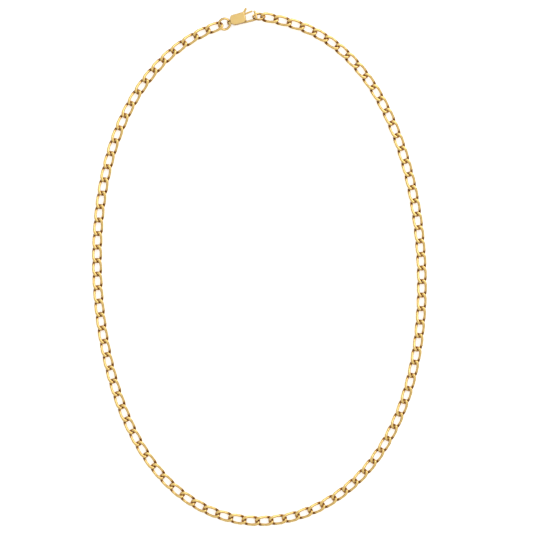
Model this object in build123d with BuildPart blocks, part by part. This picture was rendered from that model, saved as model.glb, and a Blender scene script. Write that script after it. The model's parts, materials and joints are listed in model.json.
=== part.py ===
from build123d import *
from math import asin, cos, exp, hypot, radians, sin
import os

# Chain necklace: an open curb chain, closed by a trigger clasp, laid flat in an oval.
# Millimetres. X is across the oval, Y along it with the clasp at the top, Z up, and the
# chain lies on Z = 0. Links are counted clockwise from the ring in the clasp's hook.

# The curb link, a wire oval with its two ends twisted opposite ways
link_count = 95
link_wire = 0.85
link_length = 6.40
link_side_room = 0.90      # across a link's hole, beyond the wire that passes through it
link_twist = 45.0          # degrees from the middle of the oval to each end
link_play = 0.08           # between the wires of two linked parts
end_bend = 1.10            # centre line radius of the four corner bends
waist_bend = 6.0           # centre line radius where each long arm crosses the middle

# The oval that the chain is laid in: an ellipse with a little squareness and lean
lay_half_width = 56.26
lay_start = 89.5           # degrees round the oval where the first link begins
side_fullness = 0.82
end_fullness = 0.72
hand_lean = 0.64
hand_tilt = 0.83
hand_droop = 0.34
hook_pull = 0.75           # how far the hook holds the first link outside the oval
hook_pull_spread = 0.08    # radians over which that dies away
lift_decay = 0.4           # share of a junction's lift that the next one keeps
hook_hang = 0.194          # how far the first link hangs below the ring in the hook

# Jump rings
ring_wire = 0.80
ring_outside = 4.60
ring_play = 0.30           # between a ring's wire and a link's
tail_ring_gap = 0.038      # under the ring in the eye; the hook's ring rests on Z = 0

# Clasp casting, in its own frame: x along the pull, y across, the pull line on y = 0
clasp_thickness = 2.30
clasp_pitch = 5.0          # degrees, nose up, resting on the ring
edge_round = 0.30
hook_wire = 0.76
hook_root_x = 0.20
seat_low_play = 0.38       # between the ring's wire and the hook's straight side
hook_nose_x = 4.62
hook_tip_x = 4.45
hook_tip_y = 1.62
hook_shoulder_y = 0.95
hook_bend = 0.95
seat_play = 0.19           # between the ring's wire and the nose of the hook
eye_x = -4.65
eye_play = 0.25            # all round the ring's wire in the eye
eye_wall = 0.30
eye_width = 1.00
plate_left = -3.95
plate_top = 2.35
plate_right = 1.05
plate_bottom = -1.36
plate_left_slant = 0.75    # how far the lower left corner is cut back
plate_top_slant = 0.15
plate_right_slant = 0.90
plate_corners = [0.3, 1.0, 0.6, 0.4, 0.45, 0.9, 0.3]   # radii, round from the eye's lower side

# Trigger, its rivet and its spring
pivot_x = 0.25
pivot_y = 1.45
pin_diameter = 0.70
pin_clearance = 0.05
trigger_thickness = 0.90
trigger_side_gap = 0.06
trigger_gap = 0.12         # around the trigger in its pocket, and at its closed tip
hub_radius = 0.72
limb_root_radius = 0.31
gate_x = 3.62
gate_y = 1.88
gate_radius = 0.27
thumb_x = 1.75
thumb_y = 3.15
thumb_radius = 0.36
heel_x = -0.80
heel_radius = 0.25
pocket_left = -2.55
pocket_top = 2.02
pocket_low = 1.05
spring_wire = 0.25
spring_gap = 0.10          # between the spring, its pocket and the trigger's heel

# How the laying-out is solved
halvings = 32
widest_step = 0.3          # radians round the oval, more than any link spans

os.makedirs("parts", exist_ok=True)

# Sizes that follow from those above
link_width = 3 * link_wire + link_side_room
arm_offset = (link_width - link_wire) / 2
half_reach = (link_length - link_wire) / 2
pitch = link_length - 2 * link_wire - link_play
ring_radius = (ring_outside - ring_wire) / 2
ring_reach = ring_radius - (ring_wire + ring_play) / 2
eye_bore = ring_wire + 2 * eye_play
seat_x = hook_nose_x - (hook_wire + ring_wire) / 2 - seat_play   # middle of the ring's wire
hook_low_y = -(hook_wire + ring_wire) / 2 - seat_low_play
eye_height = clasp_thickness / 2
seat_height = eye_height + (seat_x - eye_x) * sin(radians(clasp_pitch))


def save(piece, name):
    """Label a finished piece and write it as one STEP file."""
    piece.part.label = name
    export_step(piece.part, f"parts/{name}.step")


def lay_point(angle, half_length):
    """The point of the oval at this angle, in radians from +X."""
    x = lay_half_width * cos(angle) - side_fullness * cos(3 * angle) - hand_lean * sin(3 * angle)
    y = half_length * sin(angle) + end_fullness * sin(3 * angle)
    y -= hand_tilt * cos(angle) + hand_droop * cos(2 * angle)
    y += hook_pull * exp(-(((angle - radians(lay_start)) / hook_pull_spread) ** 2))
    return x, y


def step_round(angle, half_length):
    """The angle, clockwise from this one, whose point is one pitch away."""
    x, y = lay_point(angle, half_length)
    near, far = angle, angle - widest_step
    for _ in range(halvings):
        middle = (near + far) / 2
        next_x, next_y = lay_point(middle, half_length)
        if hypot(next_x - x, next_y - y) < pitch:
            near = middle
        else:
            far = middle
    return near


def lay_chain(half_length):
    """The plan points where the links meet, from the hook's ring round to the tail's."""
    angle = radians(lay_start)
    points = [Vector(*lay_point(angle, half_length))]
    for _ in range(link_count):
        angle = step_round(angle, half_length)
        points.append(Vector(*lay_point(angle, half_length)))
    return points


def clasp_ends(points):
    """The plan points of the clasp's eye and of its seat, one ring beyond each chain end."""
    straight = (points[0] - points[-1]).normalized()
    tail_way = (straight + (points[-1] - points[-2]).normalized()).normalized()
    hook_way = (straight + (points[1] - points[0]).normalized()).normalized()
    ring_span = ring_radius + ring_reach
    return points[-1] + tail_way * ring_span, points[0] - hook_way * ring_span


# The oval is made longer or shorter until the clasp and its rings just close it
clasp_span = (seat_x - eye_x) * cos(radians(clasp_pitch))
shortest, longest = 0, link_count * pitch / 2
for _ in range(halvings):
    half_length = (shortest + longest) / 2
    plan = lay_chain(half_length)
    eye, seat = clasp_ends(plan)
    if seat.X < eye.X or (seat - eye).length < clasp_span:
        shortest = half_length
    else:
        longest = half_length
along = (seat - eye).normalized()
across = Vector(0, 0, 1).cross(along)

# The middle of the whole outline, up to the thumb tab's top, comes to the origin
thumb_top = (seat + along * (thumb_x - seat_x) + across * (thumb_y + thumb_radius)).Y
lowest = min(point.Y for point in plan) - link_width / 2
leftmost = min(point.X for point in plan) - link_width / 2
rightmost = max(point.X for point in plan) + link_width / 2
middle = Vector((leftmost + rightmost) / 2, (lowest + thumb_top) / 2)
plan = [point - middle for point in plan]
eye, seat = eye - middle, seat - middle


# One curb link in its own frame: half of the wire, and the same half turned over
twist = radians(link_twist)
end_y = arm_offset * cos(twist)
end_z = arm_offset * sin(twist)
with BuildPart() as link:
    with BuildLine() as half_wire:
        FilletPolyline(
            (-half_reach, 0, 0),
            (-half_reach, end_y, end_z),
            (0, arm_offset, 0),
            (half_reach, end_y, -end_z),
            (half_reach, 0, 0),
            radius=[end_bend, waist_bend, end_bend],
        )
    with BuildSketch(Plane(half_wire.wire() @ 0, z_dir=half_wire.wire() % 0)):
        Circle(link_wire / 2)
    sweep(path=half_wire.wire())
    add(link.part.rotate(Axis.X, 180))
link_rise = link.part.bounding_box().max.Z


def junction(number):
    """The point where link number and the one after it meet, lifted near the two rings."""
    hook_lift = seat_height - hook_hang - link_rise
    tail_lift = eye_height - link_rise
    lift = hook_lift * lift_decay**number + tail_lift * lift_decay ** (link_count - number)
    return plan[number] + Vector(0, 0, link_rise + lift)


def link_plane(number):
    """The frame of a link: its middle, X on to the next link, Z upwards."""
    start, end = junction(number - 1), junction(number)
    onward = (end - start).normalized()
    outward = Vector(0, 0, 1).cross(onward)
    return Plane((start + end) / 2, x_dir=onward, z_dir=onward.cross(outward))


# The links stand in pairs across the oval, and the last one alone at the bottom
middle_link = (link_count + 1) // 2
for row in range(1, middle_link):
    with BuildPart() as link_pair:
        with Locations(link_plane(row), link_plane(link_count + 1 - row)):
            add(link.part)
    save(link_pair, f"link_pair_{row:02}")

with BuildPart() as bottom_link:
    with Locations(link_plane(middle_link)):
        add(link.part)
save(bottom_link, "link_bottom")


# The clasp's frame: X along its pull line with the nose up, its eye half its thickness high
tail_ring_lean = asin((eye_height - ring_wire / 2 - tail_ring_gap) / ring_radius)
pull = along * cos(radians(clasp_pitch)) + Vector(0, 0, sin(radians(clasp_pitch)))
eye_middle = eye + Vector(0, 0, eye_height)
eye_axis = across * cos(tail_ring_lean) + Vector(0, 0, sin(tail_ring_lean))
clasp = Plane(eye_middle - pull * eye_x, x_dir=pull, z_dir=pull.cross(across))


def top_and_bottom(piece):
    """The edges round the two flat faces of a piece that lies in the clasp's frame."""
    faces = piece.faces().sort_by(Axis(clasp.origin, clasp.z_dir))
    return faces[0].edges() + faces[-1].edges()


# Clasp casting: plate, eye barrel, hook, trigger pocket and rivet hole
with BuildPart() as clasp_body:
    with BuildSketch(clasp) as plate:
        with BuildLine():
            FilletPolyline(
                (eye_x + eye_wall, -eye_width / 2),
                (plate_left + plate_left_slant, plate_bottom),
                (plate_right - plate_right_slant, plate_bottom),
                (plate_right, hook_low_y + hook_wire / 2),
                (plate_right, plate_top),
                (plate_left + plate_top_slant, plate_top - plate_top_slant),
                (eye_x + eye_wall, eye_width / 2 + eye_wall),
                radius=plate_corners,
                close=True,
            )
        make_face()
    extrude(amount=clasp_thickness / 2, both=True)
    fillet(top_and_bottom(clasp_body), edge_round)
    eye_radius = eye_bore / 2 + eye_wall
    with BuildSketch(Plane(eye_middle, x_dir=along, z_dir=eye_axis)):
        Circle(eye_radius)
        with Locations((eye_radius / 2, 0)):
            Rectangle(eye_radius, 2 * eye_radius)
    extrude(amount=eye_width / 2, both=True)
    with BuildLine(clasp) as hook_path:
        FilletPolyline(
            (hook_root_x, hook_low_y),
            (hook_nose_x, hook_low_y),
            (hook_nose_x, hook_shoulder_y),
            (hook_tip_x, hook_tip_y),
            radius=[hook_bend, hook_bend],
        )
    with BuildSketch(Plane(hook_path.wire() @ 0, z_dir=hook_path.wire() % 0)):
        Circle(hook_wire / 2)
    sweep(path=hook_path.wire())
    with Locations(hook_path.wire() @ 1):
        Sphere(hook_wire / 2)
    with BuildSketch(Plane(eye_middle, x_dir=along, z_dir=eye_axis)):
        Circle(eye_bore / 2)
    extrude(amount=2 * eye_width, both=True, mode=Mode.SUBTRACT)
    with BuildSketch(clasp):
        with Locations((pivot_x, pivot_y)):
            Circle(hub_radius + trigger_gap)
        with Locations((pivot_x, pivot_y - hub_radius - trigger_gap)):
            Rectangle(plate_right, plate_top, align=(Align.MIN, Align.MIN))
        with Locations((pocket_left, pocket_low)):
            Rectangle(
                pivot_x - pocket_left, pocket_top - pocket_low, align=(Align.MIN, Align.MIN)
            )
    extrude(amount=trigger_thickness / 2 + trigger_side_gap, both=True, mode=Mode.SUBTRACT)
    with BuildSketch(clasp):
        with Locations((pivot_x, pivot_y)):
            Circle(pin_diameter / 2)
    extrude(amount=clasp_thickness, both=True, mode=Mode.SUBTRACT)
save(clasp_body, "clasp_body")

# Rivet that the trigger turns on, filed flush with the plate
with BuildPart() as trigger_pin:
    with BuildSketch(clasp):
        with Locations((pivot_x, pivot_y)):
            Circle(pin_diameter / 2)
    extrude(amount=clasp_thickness / 2, both=True)
save(trigger_pin, "trigger_pin")

# Trigger: gate, thumb tab and heel run out of one hub
limbs = [
    ((gate_x, gate_y), gate_radius),
    ((thumb_x, thumb_y), thumb_radius),
    ((heel_x, pivot_y), heel_radius),
]
with BuildPart() as trigger:
    with BuildSketch(clasp):
        with Locations((pivot_x, pivot_y)):
            Circle(hub_radius)
    extrude(amount=trigger_thickness / 2, both=True)
    for end, end_radius in limbs:
        with BuildSketch(clasp):
            with Locations((pivot_x, pivot_y)):
                Circle(limb_root_radius)
            with Locations(end):
                Circle(end_radius)
            make_hull()
        extrude(amount=trigger_thickness / 2, both=True)
    with BuildSketch(clasp):
        with Locations((pivot_x, pivot_y)):
            Circle(pin_diameter / 2 + pin_clearance)
    extrude(amount=trigger_thickness, both=True, mode=Mode.SUBTRACT)
save(trigger, "clasp_trigger")

# Hairpin spring behind the trigger's heel
spring_right = heel_x - heel_radius - spring_gap - spring_wire / 2
spring_left = pocket_left + spring_gap + spring_wire / 2
spring_top = pocket_top - spring_gap - spring_wire / 2
spring_low = pocket_low + spring_gap + spring_wire / 2
spring_bend = (spring_top - spring_low) / 2
with BuildPart() as trigger_spring:
    with BuildLine(clasp) as hairpin:
        Line((spring_right, spring_top), (spring_left + spring_bend, spring_top))
        ThreePointArc(
            (spring_left + spring_bend, spring_top),
            (spring_left, spring_low + spring_bend),
            (spring_left + spring_bend, spring_low),
        )
        Line((spring_left + spring_bend, spring_low), (spring_right, spring_low))
    with BuildSketch(Plane(hairpin.wire() @ 0, z_dir=hairpin.wire() % 0)):
        Circle(spring_wire / 2)
    sweep(path=hairpin.wire())
save(trigger_spring, "trigger_spring")

# Jump rings, one in the hook, which leans until it rests on Z = 0, and one in the eye
seat_middle = clasp.from_local_coords(Vector(seat_x, 0, 0))
hook_lean = -asin((seat_middle.Z - ring_wire / 2) / ring_radius)
hook_ring_way = (plan[0] - seat).normalized()
eye_ring_way = (eye - plan[-1]).normalized()
rings = {
    "jump_ring_hook": (seat_middle + hook_ring_way * ring_radius, hook_ring_way, hook_lean),
    "jump_ring_eye": (eye_middle - eye_ring_way * ring_radius, eye_ring_way, tail_ring_lean),
}
for name, (centre, way, lean) in rings.items():
    leaning = Vector(0, 0, 1).cross(way) * cos(lean) + Vector(0, 0, sin(lean))
    with BuildPart() as ring:
        with Locations(Plane(centre, x_dir=way, z_dir=way.cross(leaning))):
            Torus(ring_radius, ring_wire / 2)
    save(ring, name)

print(f"pitch {pitch:.3f}, oval half length {half_length:.2f}, chain height {2 * link_rise:.2f}")
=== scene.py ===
import json
import math
import bpy
import numpy as np
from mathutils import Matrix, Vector


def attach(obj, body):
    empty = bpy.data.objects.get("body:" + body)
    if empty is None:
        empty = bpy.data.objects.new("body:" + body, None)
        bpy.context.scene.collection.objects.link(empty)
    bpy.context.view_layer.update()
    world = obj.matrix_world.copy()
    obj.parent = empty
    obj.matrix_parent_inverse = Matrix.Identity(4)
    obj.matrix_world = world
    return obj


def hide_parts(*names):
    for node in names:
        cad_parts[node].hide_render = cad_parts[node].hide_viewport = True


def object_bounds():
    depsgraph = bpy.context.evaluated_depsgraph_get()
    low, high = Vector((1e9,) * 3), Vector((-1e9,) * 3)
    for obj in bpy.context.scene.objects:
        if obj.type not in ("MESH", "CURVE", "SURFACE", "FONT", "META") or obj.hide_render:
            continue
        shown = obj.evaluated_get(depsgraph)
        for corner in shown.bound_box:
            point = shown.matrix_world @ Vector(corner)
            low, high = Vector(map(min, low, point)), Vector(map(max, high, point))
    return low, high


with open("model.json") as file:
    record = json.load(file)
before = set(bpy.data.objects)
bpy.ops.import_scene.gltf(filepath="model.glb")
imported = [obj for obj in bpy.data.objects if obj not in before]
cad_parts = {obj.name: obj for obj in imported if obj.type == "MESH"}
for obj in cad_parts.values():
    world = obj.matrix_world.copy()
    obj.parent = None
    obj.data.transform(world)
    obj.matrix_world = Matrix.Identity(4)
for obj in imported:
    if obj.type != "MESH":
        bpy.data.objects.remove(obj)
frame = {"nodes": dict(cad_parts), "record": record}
cad_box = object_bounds()

# ---------------------------------------------------------------------------------------
# Curb links. Each is a length of round gold-alloy wire, bent to an oval, soldered shut,
# twisted so that its two ends lean opposite ways, then rolled and tumbled to a polish.
# Every link keeps the place of its own solid, and rides with it.

MM = 0.001
LINK_WIRE = 0.85 * MM
LINK_WIDTH = 3.45 * MM
LINK_LENGTH = 6.40 * MM
LINK_TWIST = math.radians(52)
TWIST_POWER = 1.3            # more than 1 gathers the twist towards the ends
LINK_SQUARENESS = 3.6        # exponent of the oval: 2 is an ellipse, more is squarer
WIRE_RISE = 0.80 * MM        # the rolls leave the wire's middle no higher than this
ROLLED_RISE = 0.90 * MM      # and the flats on top of it this high
ROLLED_EDGE = 0.02 * MM      # how gently the rolled flats run out
ROLLED_SPREAD = 0.24         # how much wider the wire grows where it is rolled
PAINTED_SHADE_REACH = (0.8 * MM, 1.4 * MM, 1.9 * MM)    # from the middle of a link to its end
PAINTED_SHADE_RISE = (0.04 * MM, 0.22 * MM, 0.46 * MM)  # painted shade darkens the wire below this height, standing in for shade in the knot
# how softly the painted shade fades out above that height
PAINTED_SHADE_EDGE = 0.06 * MM
OUTLINE_STEPS = 4001
ALONG_LINK = 64
ROUND_WIRE = 14
SIDE_FACING = 0.3            # |normal . up| below which a surface counts as a side
TOP_FACING = 0.85            # and above which it counts as a top or a bottom
PATCH_SCALE = 420            # patches of wear to the metre
PATCH_DETAIL = 3
PATCH_LOW, PATCH_HIGH = 0.3, 0.7
SMOOTHEST, ROUGHEST = 0.75, 1.35     # shares of the roughness over those patches
SCUFF_DETAIL = 5
SCUFF_ROUGHNESS = 0.65
# dark brown painted shade for the knots between links and the sides of the rings, in place of
# shade and dark reflections
LINK_PAINTED_SHADE = (0.23, 0.08, 0.01)


def closed_tube(centres, up, radius, round_count):
    """A wire along a closed centre line: at each centre a circle of this radius, spanned by
    the part of `up` square to the line's tangent and by the tangent crossed with it."""
    tangent = np.roll(centres, -1, axis=0) - np.roll(centres, 1, axis=0)
    tangent /= np.linalg.norm(tangent, axis=1, keepdims=True)
    first = up - (tangent @ up)[:, None] * tangent
    first /= np.linalg.norm(first, axis=1, keepdims=True)
    second = np.cross(tangent, first)
    turn = np.linspace(0, 2 * np.pi, round_count, endpoint=False)
    radius = np.broadcast_to(radius, len(centres))[:, None, None]
    ring = first[:, None] * np.cos(turn)[:, None] + second[:, None] * np.sin(turn)[:, None]
    return centres[:, None] + radius * ring


def grid_faces(rows, columns):
    """The quads of a surface that closes on itself both ways, wound to face outwards."""
    i, j = np.meshgrid(np.arange(rows), np.arange(columns), indexing="ij")
    i_next, j_next = (i + 1) % rows, (j + 1) % columns
    quads = np.stack([i * columns + j, i_next * columns + j,
                      i_next * columns + j_next, i * columns + j_next], axis=-1)
    return quads.reshape(-1, 4)


def add_piece(name, points, faces):
    """One smooth-shaded mesh object, put straight into its place in the frame."""
    mesh = bpy.data.meshes.new(name)
    mesh.from_pydata(points.reshape(-1, 3).tolist(), [], faces.tolist())
    mesh.polygons.foreach_set("use_smooth", np.ones(len(faces), bool))
    mesh.update()
    piece = bpy.data.objects.new(name, mesh)
    bpy.context.scene.collection.objects.link(piece)
    return piece


def curb_link():
    """The link in its own frame: a superellipse x = a*|cos|^(2/n), y = b*|sin|^(2/n), whose
    points turn about x by -twist*|x/a|^power towards +x and as much the other way towards
    -x, with the height z limited to r*tanh(z/r). The tube round it is wider by the spread
    where it stands high, and pressed flat, softly, at the rolled height."""
    reach = (LINK_LENGTH - LINK_WIRE) / 2
    offset = (LINK_WIDTH - LINK_WIRE) / 2
    turn = np.linspace(0, 2 * np.pi, OUTLINE_STEPS)
    power = 2 / LINK_SQUARENESS
    x = reach * np.sign(np.cos(turn)) * np.abs(np.cos(turn)) ** power
    y = offset * np.sign(np.sin(turn)) * np.abs(np.sin(turn)) ** power
    lean = -LINK_TWIST * np.sign(x) * np.abs(x / reach) ** TWIST_POWER
    rise = WIRE_RISE * np.tanh(y * np.sin(lean) / WIRE_RISE)
    line = np.stack([x, y * np.cos(lean), rise], axis=1)
    run = np.concatenate([[0], np.cumsum(np.linalg.norm(np.diff(line, axis=0), axis=1))])
    even = np.linspace(0, run[-1], ALONG_LINK, endpoint=False)
    centres = np.stack([np.interp(even, run, line[:, k]) for k in range(3)], axis=1)
    points = closed_tube(centres, np.array([0, 0, 1.0]), LINK_WIRE / 2, ROUND_WIRE)
    spread = 1 + ROLLED_SPREAD * np.abs(centres[:, 2:] / WIRE_RISE)
    points[..., :2] = centres[:, None, :2] + spread[:, None] * (points - centres[:, None])[..., :2]
    height = points[..., 2]
    over = (np.abs(height) - ROLLED_RISE) / ROLLED_EDGE
    points[..., 2] = np.sign(height) * (np.abs(height) - ROLLED_EDGE * np.logaddexp(0, over))
    return points


def link_painted_shade(points):
    """How much painted shade each point gets in the knot where two links meet, from 0 to 1:
    a logistic step 1/(1+e^((|z|-h)/w)) below the height h that rises from a link's middle to its
    end."""
    line = np.interp(np.abs(points[..., 0]), PAINTED_SHADE_REACH, PAINTED_SHADE_RISE)
    return 1 / (1 + np.exp((np.abs(points[..., 2]) - line) / PAINTED_SHADE_EDGE))


def solid_frame(corners, triangles):
    """The middle of a solid's surface and its three principal directions, longest first,
    from the area-weighted second moments of its triangles."""
    a, b, c = (corners[triangles[:, k]] for k in range(3))
    area = np.linalg.norm(np.cross(b - a, c - a), axis=1) / 2
    middle = (area[:, None] * (a + b + c) / 3).sum(0) / area.sum()
    samples = np.stack([(a + b) / 2, (b + c) / 2, (c + a) / 2]) - middle
    moments = np.einsum("t,stx,sty->xy", area, samples, samples)
    directions = np.linalg.eigh(moments)[1].T[::-1]
    directions[2] = np.cross(directions[0], directions[1])
    return middle, directions


def node_solids(node):
    """The corners and triangles of each separate solid in a node, told apart by the
    side of the oval that it lies on."""
    mesh = frame["nodes"][node].data
    corners = np.empty(len(mesh.vertices) * 3)
    mesh.vertices.foreach_get("co", corners)
    corners = corners.reshape(-1, 3)
    mesh.calc_loop_triangles()
    triangles = np.empty(len(mesh.loop_triangles) * 3, int)
    mesh.loop_triangles.foreach_get("vertices", triangles)
    triangles = triangles.reshape(-1, 3)
    low, high = corners[:, 0].min(), corners[:, 0].max()
    if high - low < 2 * LINK_LENGTH:
        return [(corners, triangles)]
    right = corners[triangles[:, 0], 0] > (low + high) / 2
    return [(corners, triangles[right]), (corners, triangles[~right])]


def gold_polish():
    """A group that turns object space into the marks of tumbling and wear, and adds painted
    shade: a slow shift of alloy colour, darkened towards the painted shade colour where the
    piece's painted shade mask says, roughness that varies in patches, and a height of fine scuffs."""
    group = bpy.data.node_groups.new("gold_polish", "ShaderNodeTree")
    for name, kind, default in (
        ("Alloy", "NodeSocketColor", (0.85, 0.60, 0.22, 1)),
        ("Deep", "NodeSocketColor", (0.75, 0.45, 0.12, 1)),
        # the dark colour of the painted shade
        ("Stain", "NodeSocketColor", (0.20, 0.07, 0.01, 1)),
        ("Roughness", "NodeSocketFloat", 0.15),
        ("Scuff Size", "NodeSocketFloat", 2500.0),
    ):
        socket = group.interface.new_socket(name, in_out="INPUT", socket_type=kind)
        socket.default_value = default
    for name, kind in (("Color", "NodeSocketColor"), ("Roughness", "NodeSocketFloat"),
                       ("Height", "NodeSocketFloat")):
        group.interface.new_socket(name, in_out="OUTPUT", socket_type=kind)
    nodes, links = group.nodes, group.links
    inside, outside = nodes.new("NodeGroupInput"), nodes.new("NodeGroupOutput")
    place = nodes.new("ShaderNodeTexCoord")
    patches = nodes.new("ShaderNodeTexNoise")
    patches.inputs["Scale"].default_value = PATCH_SCALE
    patches.inputs["Detail"].default_value = PATCH_DETAIL
    scuffs = nodes.new("ShaderNodeTexNoise")
    scuffs.inputs["Detail"].default_value = SCUFF_DETAIL
    scuffs.inputs["Roughness"].default_value = SCUFF_ROUGHNESS
    tint = nodes.new("ShaderNodeMix")
    tint.data_type = "RGBA"
    # painted shade: the mesh's mask mixes the alloy colour towards the dark shade colour
    painted_shade_reader = nodes.new("ShaderNodeAttribute")
    painted_shade_reader.attribute_name = "recess"
    painted_shade_mix = nodes.new("ShaderNodeMix")
    painted_shade_mix.data_type = "RGBA"
    spread = nodes.new("ShaderNodeMapRange")
    spread.inputs["From Min"].default_value = PATCH_LOW
    spread.inputs["From Max"].default_value = PATCH_HIGH
    spread.inputs["To Min"].default_value = SMOOTHEST
    spread.inputs["To Max"].default_value = ROUGHEST
    rough = nodes.new("ShaderNodeMath")
    rough.operation = "MULTIPLY"
    links.new(place.outputs["Object"], patches.inputs["Vector"])
    links.new(place.outputs["Object"], scuffs.inputs["Vector"])
    links.new(inside.outputs["Scuff Size"], scuffs.inputs["Scale"])
    links.new(patches.outputs["Fac"], tint.inputs["Factor"])
    links.new(inside.outputs["Deep"], tint.inputs["A"])
    links.new(inside.outputs["Alloy"], tint.inputs["B"])
    links.new(patches.outputs["Fac"], spread.inputs["Value"])
    links.new(spread.outputs["Result"], rough.inputs[0])
    links.new(inside.outputs["Roughness"], rough.inputs[1])
    links.new(painted_shade_reader.outputs["Fac"], painted_shade_mix.inputs["Factor"])
    links.new(tint.outputs["Result"], painted_shade_mix.inputs["A"])
    links.new(inside.outputs["Stain"], painted_shade_mix.inputs["B"])
    links.new(painted_shade_mix.outputs["Result"], outside.inputs["Color"])
    links.new(rough.outputs[0], outside.inputs["Roughness"])
    links.new(scuffs.outputs["Fac"], outside.inputs["Height"])
    return group


polish_group = gold_polish()


def paint_side_shade(piece, upward, most):
    """Paints shade on a mesh's side walls as a mask, from 0 where its surface faces along `upward`
    or against it to `most` where it faces sideways: most * (1 - smoothstep(side, top, |normal .
    upward|))."""
    normals = np.empty(len(piece.vertices) * 3)
    piece.vertices.foreach_get("normal", normals)
    facing = np.abs(normals.reshape(-1, 3) @ np.array(upward))
    step = np.clip((facing - SIDE_FACING) / (TOP_FACING - SIDE_FACING), 0, 1)
    sides = most * (1 - step * step * (3 - 2 * step))
    # the side walls' painted shade mask
    piece.attributes.new("recess", "FLOAT", "POINT").data.foreach_set("value", sides)


def gold_material(name, alloy, deep, painted_shade_colour, roughness, scuff_size, scuff_depth):
    """Gold alloy: a metal whose colour, with its painted shade, roughness and scuffs come from the
    polish group.
    """
    material = bpy.data.materials.new(name)
    material.use_nodes = True
    nodes, links = material.node_tree.nodes, material.node_tree.links
    shader = nodes["Principled BSDF"]
    shader.inputs["Metallic"].default_value = 1.0
    marks = nodes.new("ShaderNodeGroup")
    marks.node_tree = polish_group
    marks.inputs["Alloy"].default_value = (*alloy, 1)
    marks.inputs["Deep"].default_value = (*deep, 1)
    # the dark colour painted in where the mesh's shade mask is set
    marks.inputs["Stain"].default_value = (*painted_shade_colour, 1)
    marks.inputs["Roughness"].default_value = roughness
    marks.inputs["Scuff Size"].default_value = scuff_size
    bump = nodes.new("ShaderNodeBump")
    bump.inputs["Strength"].default_value = 1.0
    bump.inputs["Distance"].default_value = scuff_depth
    links.new(marks.outputs["Color"], shader.inputs["Base Color"])
    links.new(marks.outputs["Roughness"], shader.inputs["Roughness"])
    links.new(marks.outputs["Height"], bump.inputs["Height"])
    links.new(bump.outputs["Normal"], shader.inputs["Normal"])
    return material


link_gold = gold_material("link_gold", alloy=(0.90, 0.64, 0.24), deep=(0.86, 0.58, 0.19),
                          painted_shade_colour=LINK_PAINTED_SHADE, roughness=0.15, scuff_size=3000,
                          scuff_depth=0.0015 * MM)
link_shape = curb_link()
# painted shade mask for the links: dark low down in the knots where shade falls
recess = link_painted_shade(link_shape).ravel()
link_faces = grid_faces(ALONG_LINK, ROUND_WIRE)
link_nodes = sorted(name for name in frame["nodes"] if name.startswith("link_"))
body_of = {node: body for body, nodes in frame["record"]["behaviour"]["bodies"].items()
           for node in nodes}
for node in link_nodes:
    sides = node_solids(node)
    for side, (corners, triangles) in zip(("right", "left"), sides):
        middle, directions = solid_frame(corners, triangles)
        name = f"{node.replace('pair_', '')}_{side}" if len(sides) > 1 else f"{node}_wire"
        link = add_piece(name, middle + link_shape @ directions, link_faces)
        link.data.materials.append(link_gold)
        # the links carry their painted shade mask as an attribute
        link.data.attributes.new("recess", "FLOAT", "POINT").data.foreach_set("value", recess)
        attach(link, body_of[node])
        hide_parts(node)

# ---------------------------------------------------------------------------------------
# Jump rings. Round wire wound on a rod, cut, closed and soldered: one hangs in the clasp's
# hook, the other through its eye. The solder leaves a faint step where the ends meet.

RING_WIRE = 0.80 * MM
RING_OUTSIDE = 4.60 * MM
RING_COUNT = 144
RING_ROUND = 24
SEAM_DEPTH = 0.03 * MM
SEAM_HALF_WIDTH = 0.035      # radians round the ring
RING_SIDE_SHADE = 0.9             # how dark the painted shade on the ring's inner and outer sides gets
SEAM_PLACES = {"jump_ring_hook": 2.2, "jump_ring_eye": 4.0}      # radians round each ring


def jump_ring(middle, directions, seam_at):
    """A circle in the plane of the two wider directions, with a wire round it whose radius
    dips by a narrow bell curve at the seam."""
    turn = np.linspace(0, 2 * np.pi, RING_COUNT, endpoint=False)
    radius = (RING_OUTSIDE - RING_WIRE) / 2
    circle = (np.cos(turn)[:, None] * directions[0] + np.sin(turn)[:, None] * directions[1])
    away = (turn - seam_at + np.pi) % (2 * np.pi) - np.pi
    wire = RING_WIRE / 2 - SEAM_DEPTH * np.exp(-((away / SEAM_HALF_WIDTH) ** 2))
    return closed_tube(middle + radius * circle, directions[2], wire, RING_ROUND)


ring_gold = gold_material("ring_gold", alloy=(0.90, 0.63, 0.23), deep=(0.86, 0.57, 0.18),
                          painted_shade_colour=LINK_PAINTED_SHADE, roughness=0.14, scuff_size=2600,
                          scuff_depth=0.0015 * MM)
ring_faces = grid_faces(RING_COUNT, RING_ROUND)
for node, seam_at in SEAM_PLACES.items():
    middle, directions = solid_frame(*node_solids(node)[0])
    ring = add_piece(f"{node}_wire", jump_ring(middle, directions, seam_at), ring_faces)
    ring.data.materials.append(ring_gold)
    # painted shade on the ring's sideways-facing wire
    paint_side_shade(ring.data, directions[2], RING_SIDE_SHADE)
    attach(ring, body_of[node])
    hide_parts(node)

# ---------------------------------------------------------------------------------------
# Clasp casting. Lost-wax gold alloy in one piece with its hook and eye barrel: the plate's
# faces are left satin from the blasting cabinet.

CASTING_SIDE_SHADE = 0.9          # how dark the painted shade on the plate's and the hook's sides gets
# dark brown painted shade for the clasp's side walls
CLASP_PAINTED_SHADE = (0.20, 0.07, 0.01)


def dress(node, metal):
    """Gives one of the clasp's own solids its metal, and returns its mesh."""
    mesh = frame["nodes"][node].data
    mesh.materials.clear()
    mesh.materials.append(metal)
    return mesh


satin_gold = gold_material("clasp_satin", alloy=(0.94, 0.68, 0.27), deep=(0.88, 0.61, 0.22),
                           painted_shade_colour=CLASP_PAINTED_SHADE, roughness=0.32, scuff_size=9000,
                           scuff_depth=0.006 * MM)
clasp_up = solid_frame(*node_solids("clasp_body")[0])[1][2]
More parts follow.
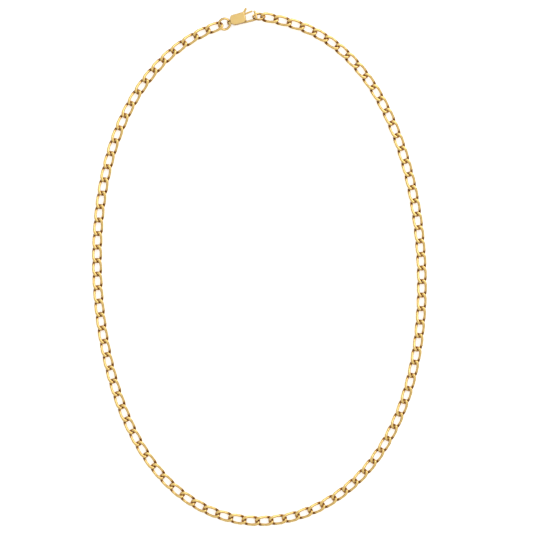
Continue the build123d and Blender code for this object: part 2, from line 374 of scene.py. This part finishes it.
# painted shade on the casting's side walls
paint_side_shade(dress("clasp_body", satin_gold), clasp_up, CASTING_SIDE_SHADE)

# ---------------------------------------------------------------------------------------
# Rivet. A gold-alloy wire pressed through both cheeks of the casting, filed flush and
# blasted with it.

dress("trigger_pin", satin_gold)

# ---------------------------------------------------------------------------------------
# Trigger. Gate, thumb tab and heel cast as one flat lever, tumbled bright before the rivet
# goes through it.

# how dark the painted shade on the trigger's sides gets
TRIGGER_SIDE_SHADE = 0.8

bright_gold = gold_material("trigger_gold", alloy=(0.90, 0.63, 0.23), deep=(0.84, 0.55, 0.18),
                            painted_shade_colour=CLASP_PAINTED_SHADE, roughness=0.15, scuff_size=2600,
                            scuff_depth=0.002 * MM)
# painted shade on the trigger's side walls
paint_side_shade(dress("clasp_trigger", bright_gold), clasp_up, TRIGGER_SIDE_SHADE)

# ---------------------------------------------------------------------------------------
# Spring. Hard-drawn steel wire bent to a hairpin. It lies loose in the casting's pocket,
# behind the trigger's heel.

spring_metal = gold_material("spring_wire", alloy=(0.70, 0.67, 0.62), deep=(0.62, 0.59, 0.54),
                             painted_shade_colour=CLASP_PAINTED_SHADE, roughness=0.25, scuff_size=6000,
                             scuff_depth=0.001 * MM)
dress("trigger_spring", spring_metal)

# ---------------------------------------------------------------------------------------
# Studio. A white paper sheet that glows a little, a sky that is bright overhead and dark low
# down, one soft key light at the upper right, and a camera straight above.

SHEET_HALF_WIDTH = 1.0
SHEET_DROP = 0.02 * MM       # under the lowest point of the necklace
PAPER_COLOUR = (0.92, 0.92, 0.92, 1)
PAPER_ROUGHNESS = 0.9
PAPER_GLOW = 0.5

low, high = (np.array(corner) for corner in cad_box)
middle = (low + high) / 2
corners = SHEET_HALF_WIDTH * np.array([[-1, -1, 0], [1, -1, 0], [1, 1, 0], [-1, 1, 0]])
sheet = add_piece("floor", corners + [0, 0, low[2] - SHEET_DROP], np.array([[0, 1, 2, 3]]))
paper = bpy.data.materials.new("white_paper")
paper.use_nodes = True
paper_shader = paper.node_tree.nodes["Principled BSDF"]
paper_shader.inputs["Base Color"].default_value = PAPER_COLOUR
paper_shader.inputs["Roughness"].default_value = PAPER_ROUGHNESS
paper_shader.inputs["Emission Color"].default_value = (1, 1, 1, 1)
paper_shader.inputs["Emission Strength"].default_value = PAPER_GLOW
sheet.data.materials.append(paper)

# Pairs of height, from 0 at the table to 1 straight up, and brightness: dark near the table,
# brightest well up, a little dimmer straight above. The key's side is brighter all the way.
SKY_BY_HEIGHT = ((0.0, 0.08), (0.30, 0.22), (0.55, 0.80), (0.80, 1.0), (1.0, 0.90))
KEY_SIDE = (0.64, 0.77, 0.0)
SIDE_REACH = 0.9             # towards the key and away from it, where the shares level off
FAR_SHARE = 0.78
NEAR_SHARE = 1.12
world = bpy.data.worlds.new("studio")
world.use_nodes = True
sky, sky_links = world.node_tree.nodes, world.node_tree.links
sky["Background"].inputs["Color"].default_value = (1, 1, 1, 1)
way = sky.new("ShaderNodeTexCoord")
parts = sky.new("ShaderNodeSeparateXYZ")
by_height = sky.new("ShaderNodeValToRGB")
by_height.color_ramp.interpolation = "EASE"
stops = by_height.color_ramp.elements
for height, _ in SKY_BY_HEIGHT[1:-1]:
    stops.new(height)
for stop, (height, value) in zip(stops, SKY_BY_HEIGHT):
    stop.position = height
    stop.color = (value, value, value, 1)
towards = sky.new("ShaderNodeVectorMath")
towards.operation = "DOT_PRODUCT"
towards.inputs[1].default_value = KEY_SIDE
by_side = sky.new("ShaderNodeMapRange")
by_side.inputs["From Min"].default_value = -SIDE_REACH
by_side.inputs["From Max"].default_value = SIDE_REACH
by_side.inputs["To Min"].default_value = FAR_SHARE
by_side.inputs["To Max"].default_value = NEAR_SHARE
both = sky.new("ShaderNodeMath")
both.operation = "MULTIPLY"
sky_links.new(way.outputs["Generated"], parts.inputs[0])
sky_links.new(way.outputs["Generated"], towards.inputs[0])
sky_links.new(parts.outputs["Z"], by_height.inputs["Fac"])
sky_links.new(towards.outputs["Value"], by_side.inputs["Value"])
sky_links.new(by_height.outputs["Color"], both.inputs[0])
sky_links.new(by_side.outputs["Result"], both.inputs[1])
sky_links.new(both.outputs[0], sky["Background"].inputs["Strength"])
bpy.context.scene.world = world
bpy.context.scene.view_settings.view_transform = "Standard"


def soft_light(name, place, aim, width, power):
    """A square soft box at a place, turned to face the aim."""
    data = bpy.data.lights.new(name, "AREA")
    data.shape = "SQUARE"
    data.size = width
    data.energy = power
    lamp = bpy.data.objects.new(name, data)
    bpy.context.scene.collection.objects.link(lamp)
    lamp.location = place
    lamp.rotation_euler = (Vector(aim) - Vector(place)).to_track_quat("-Z", "Y").to_euler()
    return lamp


soft_light("key", place=(0.35, 0.45, 0.55), aim=(0, 0, 0), width=0.70, power=2.0)

VIEW_WIDTH = 184.1 * MM      # how much of the table the view takes in
CAMERA_HEIGHT = 0.60
CAMERA_SHIFT = (3.58 * MM, -1.02 * MM)     # from the middle of the necklace
SENSOR_WIDTH = 36
camera = bpy.data.cameras.new("camera")
camera.sensor_width = SENSOR_WIDTH
camera.lens = SENSOR_WIDTH * (CAMERA_HEIGHT - middle[2]) / VIEW_WIDTH
viewer = bpy.data.objects.new("camera", camera)
viewer.location = (middle[0] + CAMERA_SHIFT[0], middle[1] + CAMERA_SHIFT[1], CAMERA_HEIGHT)
bpy.context.scene.collection.objects.link(viewer)
bpy.context.scene.camera = viewer
